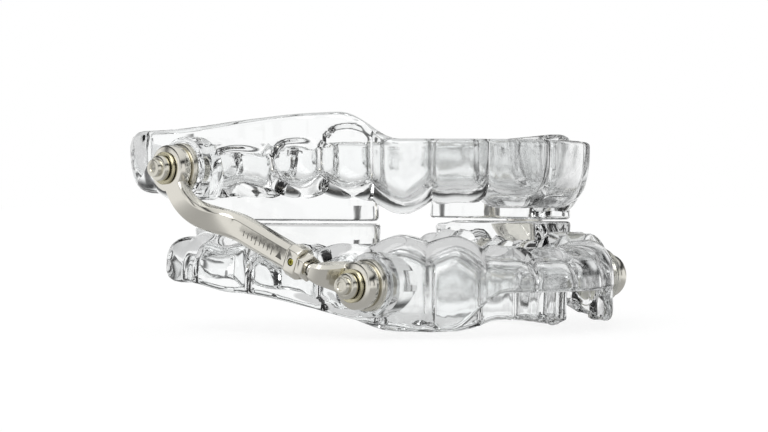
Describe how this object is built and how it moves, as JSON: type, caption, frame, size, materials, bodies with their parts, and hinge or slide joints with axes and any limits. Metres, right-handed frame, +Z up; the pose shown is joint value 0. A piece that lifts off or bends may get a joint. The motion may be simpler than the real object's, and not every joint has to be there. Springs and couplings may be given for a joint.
{
  "type": "mandibular advancement device",
  "caption": "Clear upper and lower tooth trays with bite pads, joined on each side by a pivoting telescopic steel arm that holds the lower jaw forward.",
  "frame": {"origin": "on the floor under the middle of the whole device at rest", "axes": "+Z up, the front teeth face -Y, the patient's right side is at -X"},
  "size_m": [0.0778, 0.061, 0.03],
  "materials": {
    "clear_acrylic": "clear, polished",
    "polished_steel": "polished",
    "base_steel": "turned",
    "washer_steel": "satin",
    "screw_steel": "polished"
  },
  "bodies": {
    "lower_jaw": {"lower_tray": "clear_acrylic", "right_lower_base": "base_steel", "right_lower_washer": "washer_steel", "right_lower_pivot_screw": "screw_steel", "left_lower_base": "base_steel", "left_lower_washer": "washer_steel", "left_lower_pivot_screw": "screw_steel"},
    "upper_jaw": {"upper_tray": "clear_acrylic", "right_upper_base": "base_steel", "right_upper_washer": "washer_steel", "right_upper_pivot_screw": "screw_steel", "left_upper_base": "base_steel", "left_upper_washer": "washer_steel", "left_upper_pivot_screw": "screw_steel"},
    "right_rod_body": {"right_rod": "polished_steel"},
    "right_nut_body": {"right_adjusting_nut": "polished_steel"},
    "right_sleeve_body": {"right_sleeve": "polished_steel", "right_lock_screw": "screw_steel"},
    "left_rod_body": {"left_rod": "polished_steel"},
    "left_nut_body": {"left_adjusting_nut": "polished_steel"},
    "left_sleeve_body": {"left_sleeve": "polished_steel", "left_lock_screw": "screw_steel"}
  },
  "joints": [
    {"name": "right_lower_pivot", "type": "hinge", "parent": "lower_jaw", "child": "right_rod_body", "pos_m": [-0.0265, -0.01385, 0.0067], "axis": [1, 0, 0], "range_deg": [0, 30]},
    {"name": "right_telescope", "type": "slide", "parent": "right_rod_body", "child": "right_sleeve_body", "axis": [0, 0.9304, 0.3665], "range_m": [0, 0.006]},
    {"name": "right_nut_turn", "type": "hinge", "parent": "right_rod_body", "child": "right_nut_body", "pos_m": [-0.0299, -0.00603, 0.00978], "axis": [0, 0.9304, 0.3665], "continuous": true},
    {"name": "left_lower_pivot", "type": "hinge", "parent": "lower_jaw", "child": "left_rod_body", "pos_m": [0.0265, -0.01385, 0.0067], "axis": [1, 0, 0], "range_deg": [0, 30]},
    {"name": "left_telescope", "type": "slide", "parent": "left_rod_body", "child": "left_sleeve_body", "axis": [0, 0.9304, 0.3665], "range_m": [0, 0.006]},
    {"name": "left_nut_turn", "type": "hinge", "parent": "left_rod_body", "child": "left_nut_body", "pos_m": [0.0299, -0.00603, 0.00978], "axis": [0, 0.9304, 0.3665], "continuous": true},
    {"name": "upper_pivot", "type": "hinge", "parent": "right_sleeve_body", "child": "upper_jaw", "pos_m": [-0.0356, 0.01335, 0.0224], "axis": [-1, 0, 0], "range_deg": [0, 39]}
  ],
  "couplings": [
    {"joint": "left_lower_pivot", "follows": "right_lower_pivot", "ratio": 1},
    {"joint": "upper_pivot", "follows": "right_lower_pivot", "ratio": 1.3},
    {"joint": "left_telescope", "follows": "right_telescope", "ratio": 1}
  ]
}
